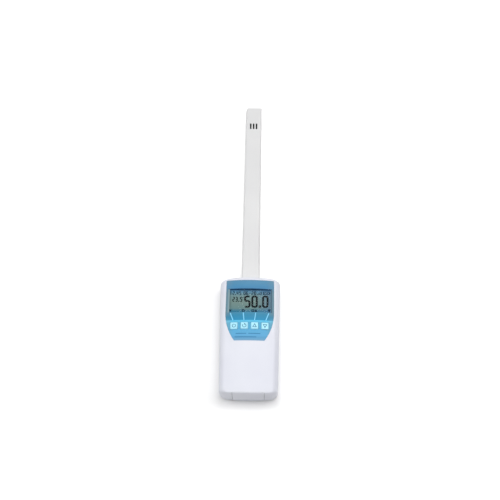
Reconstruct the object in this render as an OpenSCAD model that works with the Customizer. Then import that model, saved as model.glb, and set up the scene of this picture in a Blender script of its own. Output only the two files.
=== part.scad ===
// Hand-held thermo-hygrometer with a flat sword probe, lying on its back.
// Millimetres. X is across, Y runs from the foot to the probe, Z is up from the back.
// The origin is on the back, under the middle of the housing.

/* [Housing] */
// Length of the housing along its middle line
body_l = 143; // [138:0.5:160]
// Width of the housing at its foot
foot_w = 65; // [62:0.5:70]
// Width of the housing where the probe leaves it
top_w = 71; // [68:0.5:76]
// Thickness of the housing at its middle line
body_t = 29.5; // [28.5:0.1:33]
// Thickness of the housing's walls
wall = 2.2; // [1.8:0.1:2.6]
// Radius of the front's crown across the width
crown_r = 142; // [130:1:200]
// Radius along the long front edges
front_edge_r = 6.6; // [5:0.1:7]
// Radius along the long back edges
back_edge_r = 8; // [6:0.1:9]
// Radius of the small edge between the front and the end faces
end_edge_r = 1.6; // [1:0.1:2.2]
// Radius between the back and the end faces
back_end_r = 4.5; // [2:0.1:5]
// Width that each plan corner takes from the end face
corner_w = 7; // [5:0.1:8]
// Length that each plan corner takes from the side
corner_l = 5; // [4:0.1:7]
// How far the end faces bow out at their middle
end_bow = 2; // [1:0.1:3]
// How far the end faces lean in from the parting line to the front
front_lean = 1.4; // [0.5:0.1:2]
// How far the end faces lean in from the parting line to the back
back_lean = 0.8; // [0.2:0.1:1.5]
// Height of the line where the two shells meet, level with the probe's middle
part_z = 15.4; // [15:0.1:15.6]

/* [Overlay and display] */
// Gap from the housing's probe end to the overlay
overlay_gap = 5.3; // [4:0.1:7]
// Length of the blue overlay
overlay_l = 75.6; // [72:0.1:77]
// Width of the overlay beside the display opening
overlay_side = 3.2; // [2:0.1:4]
// Length of the overlay's curved lower flanks
flank_l = 34.5; // [30:0.5:38]
// Radius of the overlay's lower flanks
flank_r = 60; // [58:1:90]
// Thickness of the overlay foil
overlay_t = 0.3; // [0.2:0.05:0.4]
// How far the overlay lies below the housing's surface
overlay_sink = 0.1; // [0.05:0.05:0.2]
// Width of the display opening
window_w = 49.6; // [46:0.1:50]
// Height of the display opening along the housing
window_h = 30.2; // [28:0.1:31]
// Distance from the overlay's top edge to the display's middle
window_drop = 26.2; // [25.5:0.1:27]
// Thickness of the clear display window
window_t = 1; // [0.8:0.1:1.2]
// Width of the step that the display window rests on
window_ledge = 0.8; // [0.6:0.1:1]
// Height of the display glass's face above the back
glass_z = 25.2; // [25:0.1:25.3]
// Thickness of the display glass
glass_t = 2.1; // [1.8:0.1:2.4]

/* [Keys] */
// Side of a square key
key_w = 8.4; // [7.5:0.1:8.6]
// Distance from key to key
key_pitch = 11.8; // [11.4:0.1:12]
// Distance from the overlay's top edge to the keys' middle line
key_drop = 57.8; // [57:0.1:58.5]
// How far a key stands out of the overlay
key_rise = 0.7; // [0.5:0.1:1]
// How far a key travels when pressed
key_travel = 0.5; // [0.3:0.05:0.6]
// Corner radius of a key
key_corner = 1.2; // [0.8:0.1:2]
// Clearance round a key in its hole
key_play = 0.2; // [0.15:0.05:0.3]
// Width of the flange that keeps a key in
flange_w = 10.4; // [9.6:0.1:10.8]
// Thickness of that flange
flange_t = 0.8; // [0.6:0.1:1]
// Side of a key switch's body
switch_w = 6.2; // [5.5:0.1:6.5]
// Height of a key switch's body
switch_h = 2; // [1.8:0.1:2.2]
// Diameter of a key switch's stem
stem_d = 3.4; // [3:0.1:3.8]

/* [Main board] */
// Height of the board's underside above the back
board_z = 18.8; // [18.6:0.1:18.9]
// Thickness of the board
board_t = 1.6; // [1.4:0.1:1.7]
// Width of the board
board_w = 57; // [56.5:0.1:58]
// Diameter of a board screw's shank
board_screw_d = 1.9; // [1.7:0.1:2.2]

/* [Probe] */
// Length of the probe outside the housing
probe_l = 270; // [200:1:320]
// Width of the probe
probe_w = 21.7; // [19:0.1:23]
// Thickness of the probe
probe_t = 5; // [4.6:0.1:5.2]
// Wall of the probe's tube
tube_wall = 0.8; // [0.6:0.05:0.9]
// Length of tube inside the housing
probe_root = 38; // [34:0.5:40]
// Length of the tip outside the tube
tip_l = 6; // [4:0.5:8]
// Length of the corner cut off the tip's left side
tip_cut_l = 5; // [2:0.5:5.5]
// Width of that corner cut
tip_cut_w = 2.4; // [1:0.1:4]
// Width of an air slot
slot_w = 2.2; // [1.4:0.1:2.6]
// Length of an air slot
slot_l = 10; // [6:0.5:12]
// Distance from slot to slot
slot_pitch = 4; // [3.6:0.1:4.6]
// Distance from the probe's end to the slots' middle
slot_back = 33; // [28:0.5:40]
// Clearance of the probe in the housing's notch
probe_play = 0.1; // [0.05:0.05:0.2]

/* [Batteries and cover] */
// Diameter of a battery cell
cell_d = 14.3; // [14:0.1:14.4]
// Length of a battery cell with its button
cell_l = 50.4; // [49.5:0.1:50.6]
// Length that a contact spring has when a cell is in
spring_l = 4.2; // [3.8:0.1:4.6]
// Wire diameter of a contact spring
wire_d = 0.8; // [0.6:0.05:0.9]
// Turns of a contact spring
spring_turns = 2.5; // [2:0.5:3]
// Width of the battery cover
cover_w = 34.8; // [34:0.1:36]
// Thickness of the battery cover
cover_t = 1.8; // [1.6:0.1:2]
// How far the cover lies inside the back's plane
cover_sink = 0.3; // [0.2:0.05:0.4]
// Clearance round the cover
cover_play = 0.25; // [0.15:0.05:0.3]
// How far the cover's tongues reach into their grooves
tongue_w = 1; // [0.8:0.1:1.2]

/* [Screws] */
// Diameter of a housing screw's shank
screw_d = 2.9; // [2.5:0.1:3.2]
// Diameter of a housing screw's head
head_d = 5.4; // [5:0.1:5.6]
// Height of a housing screw's head
head_h = 1.8; // [1.5:0.1:2.2]

/* [Hidden] */

eps = 0.01; // makes cuts run past a face
foot_y = -body_l / 2;
top_y = body_l / 2;

// Skin of the housing, as rings of points along Y
skin_steps = [10, 10, 9]; // along an edge's round, across the flat, round a plan corner
cavity_steps = [4, 6, 3];
bow_reach = 30;

// Overlay, display and keys
overlay_top = top_y - overlay_gap;
overlay_w = window_w + 2 * overlay_side;
overlay_bottom = overlay_top - overlay_l;
overlay_corner = 1;
overlay_play = 0.1;
flank_steps = 8;
recess = overlay_sink + overlay_t;
window_y = overlay_top - window_drop;
window_corner = 1;
window_play = 0.1;
pane_w = window_w + 2 * window_ledge;
pane_h = window_h + 2 * window_ledge;
pane_bottom = overlay_sink + window_t;
bezel_t = 0.5;
glass_rim_x = 2.2; // glass hidden beside the display opening
glass_rim_y = 2.9;
glass_w = window_w + 2 * glass_rim_x;
glass_h = window_h + 2 * glass_rim_y;
glass_play = 0.2;
pin_count = 18;
pin_pitch = 2.54;
pin_w = 0.5;
pin_end = 0.6; // length of a pin below the board
pin_inset = 0.85; // from the glass's lower edge
key_y = overlay_top - key_drop;
key_hole_w = key_w + 2 * key_play;
key_stop_z = 25;
key_guide = 2; // wall round the key holes
flange_play = 0.1;
flange_top_z = key_stop_z - flange_play;
flange_z = flange_top_z - flange_t;
rim_t = 1.3;

// Main board
board_top_z = board_z + board_t;
stem_bore_floor = 0.3;
stem_play = 0.2;
stem_rest = 0.2; // room under a stem that is pressed home
stem_z = board_top_z + stem_bore_floor + key_travel + stem_rest;

// Probe
probe_z = part_z;
probe_end = top_y + probe_l;
tube_end = probe_end - tip_l;
tube_start = top_y - probe_root;
bore_w = probe_w - 2 * tube_wall;
bore_t = probe_t - 2 * tube_wall;
slot_y = probe_end - slot_back;
spigot_l = 8;
spigot_play = 0.1;
tip_edge = 0.6;
saddle_first = 7; // from the end wall to the nearer saddle
saddle_pitch = 8;
saddle_ys = [for (i = [0, 1]) top_y - wall - saddle_first - i * saddle_pitch];
saddle_t = 2;
saddle_side = 3;
block_l = 16;
block_side = 2;
block_roof = 0.6;
block_lip = 2; // part of the block behind the tube's end
block_y = tube_start - block_lip;
block_floor = 4.4;
block_z = probe_z - probe_t / 2 - block_floor;
ear_t = 4;
ear_top_z = block_z + ear_t;
ear_reach = 2.4; // from the block's side to the ear's screw
ear_x = probe_w / 2 + block_side + ear_reach;
ear_room = 3;
post_d = 5.6;
root_screw_l = 8;
floor_z = probe_z - bore_t / 2; // floor of the tube's bore
sensor_board_l = 34;
sensor_board_w = 10;
sensor_board_t = 0.8;
sensor_board_shift = 4; // the board's middle lies nearer to the housing than the slots
sensor_board_y = slot_y - sensor_board_shift;
sensor_w = 3;
sensor_t = 1.1;
bead_d = 1.6;
bead_l = 4;
lead_w = 5;
lead_t = 0.8;
lead_play = 0.4;
lead_grip = 1; // length of lead inside the plug
plug_w = 8;
plug_l = 7;
plug_t = 4;
plug_depth = 3; // length of plug inside the socket
plug_play = 0.1;
plug_from_block = 8;
plug_y = block_y - plug_from_block - plug_l;
socket_l = 5;
socket_wall = 1.1;
socket_y = plug_y + plug_depth - socket_l;

// Batteries and cover
end_wall_t = 2.6;
box_wall = 2.2;
box_play = 0.2;
box_lap = 0.5; // how far the box's sides run into the back
cover_ledge = 0.8;
box_inner_w = cover_w - 2 * cover_ledge;
box_foot_wall = 1.6;
box_end_wall = 1.5;
box_roof = 1.1;
rib_w = 1;
rib_h = 4;
rib_from_end = 8;
cell_play = 0.2;
cell_z = cover_sink + cover_t + cell_play + cell_d / 2;
cell_x = box_inner_w / 4;
box_foot_y = foot_y + end_wall_t + cover_play;
cell_room_y = box_foot_y + box_foot_wall;
contact_t = 0.4;
cell_room_l = cell_l + spring_l + 2 * contact_t;
cell_room_end = cell_room_y + cell_room_l;
box_end_y = cell_room_end + box_end_wall;
ceiling_z = cell_z + cell_d / 2 + cell_play;
box_top_z = ceiling_z + box_roof;
cover_stop = 0.4; // from the cover's inner end to the box's
cover_end_y = box_end_y - cover_stop;
plate_lap = 0.5; // how far the cover's plate runs into its rounded foot
groove_z = cover_sink + cover_t / 2;
groove_play = 0.1;
tongue_play = 0.4;
tongue_from_foot = 8;
grip_count = 5;
grip_pitch = 3;
grip_from_end = 14;
grip_depth = 0.6;
grip_l = 16;
grip_w = 1.2;
button_d = 5.3;
button_h = 1.2;
contact_w = 11;
contact_z = cell_z - contact_w / 2;
tab_w = 3;
tab_play = 0.1;

// Screws
screw_inset_x = 7.6;
screw_from_foot = 16;
screw_from_top = 9;
screw_low_y = foot_y + screw_from_foot;
screw_high_y = top_y - screw_from_top;
boss_d = 7;
hole_play = 0.3;
thread_play = 0.1;
pilot_room = 1.6; // drilled past a housing screw's tip
screw_hole_d = screw_d + hole_play;
pilot_d = screw_d + thread_play;
head_room_d = head_d + 0.8;
head_seat_z = 4;
screw_bite = 6; // length of a housing screw in its boss
screw_tip_z = part_z + screw_bite;
board_post_d = 5;
board_head_d = 3.6;
board_head_h = 1.2;
board_lap = 4; // how far the board reaches over the battery box
board_y0 = box_end_y - board_lap;
board_y1 = window_y + glass_h / 2;
board_tab_w = 39;
board_tab_l = 8;
parts_x = 14.5;
parts_y = (box_end_y + socket_y) / 2;
post_inset = 3.2; // from the board's edges to a post's middle
low_post = [board_w / 2 - post_inset, board_y0 + post_inset];
high_post = [board_tab_w / 2 - post_inset, board_y1 + board_tab_l - post_inset];
post_screw_l = 2.8; // length of a board screw past the board
board_pilot_d = board_screw_d + thread_play;
board_hole_d = board_screw_d + hole_play;

$fn = 48;

// Half the housing's width at a place along it
function half_w(y) = (foot_w + (top_w - foot_w) * (y - foot_y) / body_l) / 2;

// How far a round of radius r lowers a surface at distance d past the round's start
function round_drop(d, r) = d <= 0 ? 0 : r - sqrt(max(0, r * r - d * d));

// Heights of the front and back surfaces, moved in by the given inset
function front_height(x, half, inset) =
    body_t - crown_r + sqrt(pow(crown_r - inset, 2) - x * x)
    - round_drop(abs(x) - (half - (front_edge_r - inset)), front_edge_r - inset);
function back_height(x, half, inset) =
    inset + round_drop(abs(x) - (half - (back_edge_r - inset)), back_edge_r - inset);

// How far an end face has leaned in at a height
function lean(z) = z > part_z ? front_lean * (z - part_z) / (body_t - part_z)
    : back_lean * (part_z - z) / part_z;

// One ring: [place along Y, half width, inset of the front's end edge, inset of the back's,
// share of the bow and lean]
function end_ring(side, inset, step, steps) =
    let (
        turn = 90 * step / steps,
        from_end = (corner_l - inset / 2) * (1 - sin(turn)),
        narrow = (corner_w - inset / 2) * (1 - cos(turn)),
        edge_r = max(end_edge_r - inset, 0.4),
        edge = round_drop(edge_r - from_end, edge_r),
        back_r = max(back_end_r - inset, 0.4),
        back_edge = round_drop(back_r - from_end, back_r),
        y = side * (body_l / 2 - inset - from_end)
    )
    [y, half_w(side * body_l / 2) - inset - narrow - edge, edge, back_edge, side];
function skin_rings(inset, steps) = concat(
    [for (step = [steps:-1:0]) end_ring(-1, inset, step, steps)],
    [for (y = [foot_y + bow_reach, top_y - bow_reach]) [y, half_w(y) - inset, 0, 0, 0]],
    [for (step = [0:steps]) end_ring(1, inset, step, steps)]);

// Places across a half width, close together on the rounds of radius r at both sides
function across(half, r, steps) = concat(
    [for (i = [0:steps[0] - 1]) r * (1 - cos(90 * i / steps[0])) - half],
    [for (i = [0:steps[1]]) (half - r) * (2 * i / steps[1] - 1)],
    [for (i = [steps[0] - 1:-1:0]) half - r * (1 - cos(90 * i / steps[0]))]);

// The housing's skin between two heights, as one closed surface; a height of 0 leaves it whole
module skin(inset, low, high, steps) {
    rings = skin_rings(inset, steps[2]);
    last = len(rings) - 1;
    side = 2 * steps[0] + steps[1] + 1;
    size = 2 * side;
    function upper_z(ring, x) = high > 0 ? high : front_height(x, ring[1], inset + ring[2]);
    function lower_z(ring, x) = low > 0 ? low : back_height(x, ring[1], inset + ring[3]);
    function bow(ring, x) = end_bow * pow(x / half_w(ring[0]), 2);
    function point(ring, x, z) = [x, ring[0] - ring[4] * (bow(ring, x) + lean(z)), z];
    function upper_points(ring) = [for (x = across(ring[1], front_edge_r - inset - ring[2], steps))
        point(ring, x, upper_z(ring, x))];
    function lower_points(ring) = [for (x = across(ring[1], back_edge_r - inset - ring[3], steps))
        point(ring, -x, lower_z(ring, x))];
    points = [for (ring = rings) each concat(upper_points(ring), lower_points(ring))];
    walls = [for (k = [0:last - 1], i = [0:size - 1])
        let (a = k * size + i, b = k * size + (i + 1) % size)
        each [[a, a + size, b + size], [a, b + size, b]]];
    foot_cap = [for (i = [0:side - 2]) each [[i, i + 1, size - 2 - i], [i, size - 2 - i, size - 1 - i]]];
    top_cap = [for (face = foot_cap) [for (n = [2:-1:0]) face[n] + last * size]];
    polyhedron(points = points, faces = concat(walls, foot_cap, top_cap), convexity = 4);
}
module front_skin(inset, low) skin(inset, low, 0, inset > 0 ? cavity_steps : skin_steps);
module rear_skin(inset, high) skin(inset, 0, high, inset > 0 ? cavity_steps : skin_steps);

// Everything under the front's crown, less the given depth
module under_crown(depth) {
    translate([0, foot_y - 1, body_t - crown_r]) rotate([-90, 0, 0])
        cylinder(r = crown_r - depth, h = body_l + 2, $fn = 240);
}

module rounded_rect(w, h, r) {
    square([w - 2 * r, h], center = true);
    square([w, h - 2 * r], center = true);
    for (x = [-1, 1], y = [-1, 1]) translate([x * (w / 2 - r), y * (h / 2 - r)]) circle(r = r);
}
module stadium(w, h) {
    square([w - h, h], center = true);
    for (x = [-1, 1]) translate([x * (w - h) / 2, 0]) circle(d = h);
}
// A flat bar with round edges, from y0 to y1, with its middle at height z
module blade(w, t, y0, y1, z = probe_z) {
    translate([0, y1, z]) rotate([90, 0, 0]) linear_extrude(y1 - y0) stadium(w, t);
}
module box(low, high) {
    translate(low) cube(high - low);
}

// Outline of the overlay, grown by the given gap
function overlay_right(grow) = concat(
    [for (turn = [90:-30:0]) [overlay_w / 2 + grow - overlay_corner * (1 - cos(turn)),
        overlay_top + grow - overlay_corner * (1 - sin(turn))]],
    [for (step = [0:flank_steps]) let (share = step / flank_steps)
        [overlay_w / 2 + grow - round_drop(flank_l * share, flank_r),
            overlay_bottom + flank_l - (flank_l + grow) * share]]);
module overlay_outline(grow) {
    right = overlay_right(grow);
    polygon(concat(right, [for (i = [len(right) - 1:-1:0]) [-right[i][0], right[i][1]]]));
}

key_xs = [-1.5 * key_pitch, -0.5 * key_pitch, 0.5 * key_pitch, 1.5 * key_pitch];
module at_keys() {
    for (x = key_xs) translate([x, key_y, 0]) children();
}
module at_screws() {
    for (y = [screw_low_y, screw_high_y], side = [-1, 1])
        translate([side * (half_w(y) - screw_inset_x), y, 0]) children();
}
module at_board_posts() {
    for (post = [low_post, high_post], side = [-1, 1]) translate([side * post[0], post[1], 0]) children();
}
module at_ears() {
    for (side = [-1, 1]) translate([side * ear_x, block_y + block_l / 2, 0]) children();
}
module at_window() {
    translate([0, window_y, 0]) children();
}

// The notch that the cover's end wall fills, seen along the whole height
module cover_notch() {
    half = cover_w / 2 + cover_play;
    box([-half, foot_y - 1, -1], [half, foot_y + end_wall_t + cover_play, body_t + 1]);
}
module probe_notch() {
    blade(probe_w + 2 * probe_play, probe_t + 2 * probe_play, top_y - corner_l - end_bow, top_y + 1);
}

module front_shell() {
    rim_x = glass_w / 2 + glass_play + rim_t;
    rim_y = glass_h / 2 + glass_play + rim_t;
    guide = key_hole_w / 2 + key_guide;
    color("white") difference() {
        front_skin(0, part_z);
        difference() {
            front_skin(wall, part_z - 1);
            at_screws() cylinder(d = boss_d, h = body_t);
            at_board_posts() translate([0, 0, board_top_z]) cylinder(d = board_post_d, h = body_t);
            box([key_xs[0] - guide, key_y - guide, key_stop_z], [key_xs[3] + guide, key_y + guide, body_t]);
            at_window() box([-rim_x, -rim_y, glass_z - glass_t], [rim_x, rim_y, body_t]);
            box([-half_w(0), foot_y, part_z - 2], [half_w(0), cell_room_y, body_t]);
        }
        cover_notch();
        battery_box(box_play);
        probe_notch();
        difference() {
            translate([0, 0, glass_z - 1]) linear_extrude(body_t) overlay_outline(overlay_play);
            under_crown(recess);
        }
        difference() {
            at_window() translate([0, 0, glass_z - 1]) linear_extrude(body_t)
                rounded_rect(pane_w + 2 * window_play, pane_h + 2 * window_play, window_corner);
            under_crown(pane_bottom);
        }
        at_window() translate([0, 0, glass_z - 3]) linear_extrude(body_t)
            rounded_rect(window_w, window_h, window_corner);
        at_window() box([-glass_w / 2 - glass_play, -glass_h / 2 - glass_play, part_z],
            [glass_w / 2 + glass_play, glass_h / 2 + glass_play, glass_z]);
        at_keys() translate([0, 0, key_stop_z - 1]) linear_extrude(body_t)
            rounded_rect(key_hole_w, key_hole_w, key_corner + key_play);
        at_screws() translate([0, 0, part_z - 1]) cylinder(d = pilot_d, h = screw_bite + pilot_room);
        at_board_posts() translate([0, 0, board_top_z - eps])
            cylinder(d = board_pilot_d, h = post_screw_l + 0.4);
    }
}

// The battery box of the rear shell, grown by the given gap
module battery_box(grow = 0) {
    half = box_inner_w / 2 + box_wall + grow;
    box([-half, box_foot_y - grow, wall - box_lap], [half, box_end_y + grow, box_top_z + grow]);
}
module battery_room() {
    half = box_inner_w / 2;
    difference() {
        box([-half, cell_room_y, -1], [half, cell_room_end, ceiling_z]);
        box([-rib_w / 2, cell_room_y + rib_from_end, ceiling_z - rib_h],
            [rib_w / 2, cell_room_end - rib_from_end, ceiling_z + 1]);
    }
}
// The way that the cover slides in, with a groove for its tongues at each side
module cover_opening() {
    half = cover_w / 2 + cover_play;
    reach = half + tongue_w;
    top_z = cover_sink + cover_t + groove_play;
    box([-half, foot_y - 1, -1], [half, cover_end_y + cover_play, top_z]);
    box([-reach, foot_y - 1, groove_z - groove_play], [reach, cover_end_y + cover_play, top_z]);
}
module rear_shell() {
    saddle_w = probe_w + 2 * saddle_side;
    color("white") difference() {
        union() {
            difference() {
                rear_skin(0, part_z);
                difference() {
                    rear_skin(wall, part_z + 1);
                    at_screws() cylinder(d = boss_d + 1, h = part_z);
                    for (y = saddle_ys) box([-saddle_w / 2, y, 0], [saddle_w / 2, y + saddle_t, part_z]);
                    at_ears() cylinder(d = post_d, h = block_z);
                }
            }
            battery_box();
        }
        cover_notch();
        battery_room();
        cover_opening();
        probe_notch();
        blade(probe_w + 2 * probe_play, probe_t + 2 * probe_play, block_y + block_l, top_y);
        at_screws() {
            translate([0, 0, -1]) cylinder(d = head_room_d, h = head_seat_z + 1);
            cylinder(d = screw_hole_d, h = part_z + 1);
        }
        at_ears() translate([0, 0, wall + 1]) cylinder(d = board_pilot_d, h = block_z);
        for (side = [-1, 1]) translate([side * cell_x, cell_room_end, 0])
            box([-tab_w / 2 - tab_play, -contact_t - tab_play, ceiling_z - 1],
                [tab_w / 2 + tab_play, 0, box_top_z + 1]);
    }
}

module front_overlay() {
    color("steelblue") difference() {
        intersection() {
            translate([0, 0, glass_z - 1]) linear_extrude(body_t) overlay_outline(0);
            under_crown(overlay_sink);
        }
        under_crown(recess);
        at_window() linear_extrude(body_t + 1)
            rounded_rect(pane_w + 2 * window_play, pane_h + 2 * window_play, window_corner);
        at_keys() linear_extrude(body_t + 1)
            rounded_rect(key_hole_w, key_hole_w, key_corner + key_play);
    }
}
module display_window() {
    color("lightskyblue", 0.4) difference() {
        intersection() {
            at_window() translate([0, 0, glass_z]) linear_extrude(body_t)
                rounded_rect(pane_w, pane_h, window_corner);
            under_crown(overlay_sink);
        }
        under_crown(pane_bottom);
    }
}
module display_bezel() {
    color("midnightblue") intersection() {
        at_window() difference() {
            translate([0, 0, glass_z]) linear_extrude(body_t)
                rounded_rect(window_w - 2 * window_play, window_h - 2 * window_play, window_corner);
            linear_extrude(2 * body_t)
                rounded_rect(window_w - 2 * bezel_t, window_h - 2 * bezel_t, window_corner / 2);
        }
        under_crown(pane_bottom + 0.05);
    }
}
module display_glass() {
    color("darkseagreen") at_window()
        box([-glass_w / 2, -glass_h / 2, glass_z - glass_t], [glass_w / 2, glass_h / 2, glass_z]);
}
module backlight_panel() {
    half = window_w / 2;
    color("ivory") at_window()
        box([-half, -window_h / 2, board_top_z], [half, window_h / 2, glass_z - glass_t]);
}
module at_pins() {
    for (i = [0:pin_count - 1])
        translate([(i - (pin_count - 1) / 2) * pin_pitch, window_y - glass_h / 2 + pin_inset, 0]) children();
}
module display_pins() {
    half = pin_w / 2;
    color("silver") at_pins() box([-half, -half, board_z - pin_end], [half, half, glass_z - glass_t]);
}

module main_board() {
    hole = pin_w / 2 + 0.05;
    color("darkgreen") difference() {
        translate([0, 0, board_z]) linear_extrude(board_t) {
            translate([0, (board_y0 + board_y1) / 2]) rounded_rect(board_w, board_y1 - board_y0, 2);
            translate([0, board_y1]) rounded_rect(board_tab_w, 2 * board_tab_l, 2);
        }
        at_board_posts() translate([0, 0, board_z - 1]) cylinder(d = board_hole_d, h = board_t + 2);
        at_pins() box([-hole, -hole, board_z - 1], [hole, hole, board_top_z + 1]);
    }
}
// A pan-head screw that points up, with its head's underside at the origin
module pan_screw(d, l, head, head_height) {
    slot = 0.6;
    difference() {
        union() {
            cylinder(d = d, h = l);
            translate([0, 0, -head_height]) cylinder(d = head, h = head_height);
        }
        for (turn = [0, 90]) rotate(turn) box([-head / 3, -slot / 2, -head_height - 1],
            [head / 3, slot / 2, -head_height / 2]);
    }
}
module board_screws() {
    color("silver") at_board_posts() translate([0, 0, board_z])
        pan_screw(board_screw_d, board_t + post_screw_l, board_head_d, board_head_h);
}
// What hangs under the board between the battery box and the probe's socket
module processor_chip() {
    chip_w = 10;
    chip_t = 1.2;
    color("dimgray") translate([0, parts_y, board_z - chip_t])
        linear_extrude(chip_t) rounded_rect(chip_w, chip_w, 0.4);
}
module clock_crystal() {
    can = [10.6, 4.4, 3.2];
    color("lightgray") translate([-parts_x, parts_y, board_z - can[2]])
        linear_extrude(can[2]) stadium(can[0], can[1]);
}
module supply_capacitor() {
    can_d = 6.3;
    can_h = 5.4;
    color("slategray") translate([parts_x, parts_y, board_z - can_h]) cylinder(d = can_d, h = can_h);
}

module key_switches() {
    color("dimgray") at_keys() difference() {
        translate([0, 0, board_top_z]) linear_extrude(switch_h) rounded_rect(switch_w, switch_w, 0.5);
        translate([0, 0, board_top_z + stem_bore_floor]) cylinder(d = stem_d + stem_play * 2, h = switch_h);
    }
}
module stem(x) {
    color("black") translate([x, key_y, stem_z]) cylinder(d = stem_d, h = flange_z - stem_z);
}
// A key: a square cap that follows the crown, with a flange under the shell
module key_cap(x) {
    color("paleturquoise") {
        intersection() {
            translate([x, key_y, flange_z]) linear_extrude(body_t) rounded_rect(key_w, key_w, key_corner);
            under_crown(-key_rise);
        }
        translate([x, key_y, flange_z]) linear_extrude(flange_t) rounded_rect(flange_w, flange_w, key_corner);
    }
}

module slots() {
    for (i = [-1:1]) translate([i * slot_pitch, slot_y, probe_z - probe_t])
        linear_extrude(2 * probe_t) rotate(90) stadium(slot_l, slot_w);
}
module probe_tube() {
    color("gainsboro") difference() {
        blade(probe_w, probe_t, tube_start, tube_end);
        blade(bore_w, bore_t, tube_start - 1, tube_end + 1);
        slots();
    }
}
module probe_tip() {
    half_t = probe_t / 2;
    side = [[tube_end, -half_t], [probe_end - tip_edge, -half_t], [probe_end, tip_edge - half_t],
        [probe_end, half_t - tip_edge], [probe_end - tip_edge, half_t], [tube_end, half_t]];
    cut = [[-probe_w, probe_end - tip_cut_l], [-probe_w / 2, probe_end - tip_cut_l],
        [tip_cut_w - probe_w / 2, probe_end], [tip_cut_w - probe_w / 2, probe_end + 1],
        [-probe_w, probe_end + 1]];
    color("gainsboro") difference() {
        union() {
            intersection() {
                blade(probe_w, probe_t, tube_end, probe_end);
                translate([-probe_w / 2, 0, probe_z]) rotate([90, 0, 90])
                    linear_extrude(probe_w) polygon(side);
            }
            blade(bore_w - 2 * spigot_play, bore_t - 2 * spigot_play, tube_end - spigot_l, tube_end + 1);
        }
        translate([0, 0, probe_z - probe_t]) linear_extrude(2 * probe_t) polygon(cut);
    }
}
module probe_root_block() {
    half = probe_w / 2 + block_side;
    color("whitesmoke") difference() {
        union() {
            translate([0, block_y + block_l / 2, block_z]) linear_extrude(ear_top_z - block_z)
                rounded_rect(2 * (ear_x + ear_room), block_l, 2);
            box([-half, block_y, block_z], [half, block_y + block_l, probe_z + probe_t / 2 + block_roof]);
        }
        blade(probe_w, probe_t, tube_start, block_y + block_l + 1);
        blade(lead_w + 2 * lead_play, lead_t + 2 * lead_play, block_y - 1, tube_start + 1,
            floor_z + lead_t / 2);
        at_ears() translate([0, 0, block_z - 1]) cylinder(d = board_hole_d, h = block_l);
    }
}
module root_block_screws() {
    color("silver") at_ears() translate([0, 0, ear_top_z])
        rotate([180, 0, 0]) pan_screw(board_screw_d, root_screw_l, board_head_d, board_head_h);
}
module sensor_board() {
    color("darkgreen") translate([0, sensor_board_y, floor_z])
        linear_extrude(sensor_board_t) rounded_rect(sensor_board_w, sensor_board_l, 0.8);
}
module humidity_sensor() {
    color("dimgray") difference() {
        translate([0, slot_y, floor_z + sensor_board_t]) linear_extrude(sensor_t)
            rounded_rect(sensor_w, sensor_w, 0.3);
        translate([0, slot_y, floor_z + sensor_board_t + sensor_t / 2]) cylinder(d = 1, h = sensor_t);
    }
}
module temperature_sensor() {
    color("black") translate([slot_pitch, slot_y - bead_l / 2, floor_z + sensor_board_t + bead_d / 2])
        rotate([-90, 0, 0]) cylinder(d = bead_d, h = bead_l);
}
module sensor_lead() {
    color("lightgray") box([-lead_w / 2, plug_y + plug_l - lead_grip, floor_z],
        [lead_w / 2, sensor_board_y - sensor_board_l / 2, floor_z + lead_t]);
}
module sensor_plug() {
    color("white") difference() {
        box([-plug_w / 2, plug_y, probe_z - plug_t / 2], [plug_w / 2, plug_y + plug_l, probe_z + plug_t / 2]);
        box([-lead_w / 2, plug_y + plug_l - lead_grip, floor_z], [lead_w / 2, block_y, floor_z + lead_t]);
    }
}
module probe_socket() {
    room = [plug_w / 2 + plug_play, plug_t / 2 + plug_play];
    color("ivory") difference() {
        box([-room[0] - socket_wall, socket_y, probe_z - room[1] - socket_wall],
            [room[0] + socket_wall, socket_y + socket_l, board_z]);
        box([-room[0], plug_y, probe_z - room[1]], [room[0], block_y, probe_z + room[1]]);
    }
}

// An AA cell along +Y, its flat end at the origin
module cell() {
    rotate([-90, 0, 0]) {
        cylinder(d = cell_d, h = cell_l - button_h);
        translate([0, 0, cell_l - button_h - eps]) cylinder(d = button_d, h = button_h + eps);
    }
}
module battery_cell_left() {
    color("steelblue") translate([-cell_x, cell_room_y + contact_t + spring_l, cell_z]) cell();
}
module battery_cell_right() {
    color("steelblue") translate([cell_x, cell_room_end - contact_t - spring_l, cell_z])
        rotate([0, 0, 180]) cell();
}
// A terminal of the positive end, at the box's inner wall, with a tab up to the main board
module terminal(x) {
    color("silver") translate([x, cell_room_end - contact_t, 0]) {
        box([-contact_w / 2, 0, contact_z], [contact_w / 2, contact_t, contact_z + contact_w]);
        box([-tab_w / 2, 0, contact_z + 1], [tab_w / 2, contact_t, board_z]);
    }
}
module bridge_contact() {
    reach = cell_x + contact_w / 2;
    color("silver") translate([0, cell_room_y, contact_z])
        box([-reach, 0, 0], [reach, contact_t, contact_w]);
}
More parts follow.
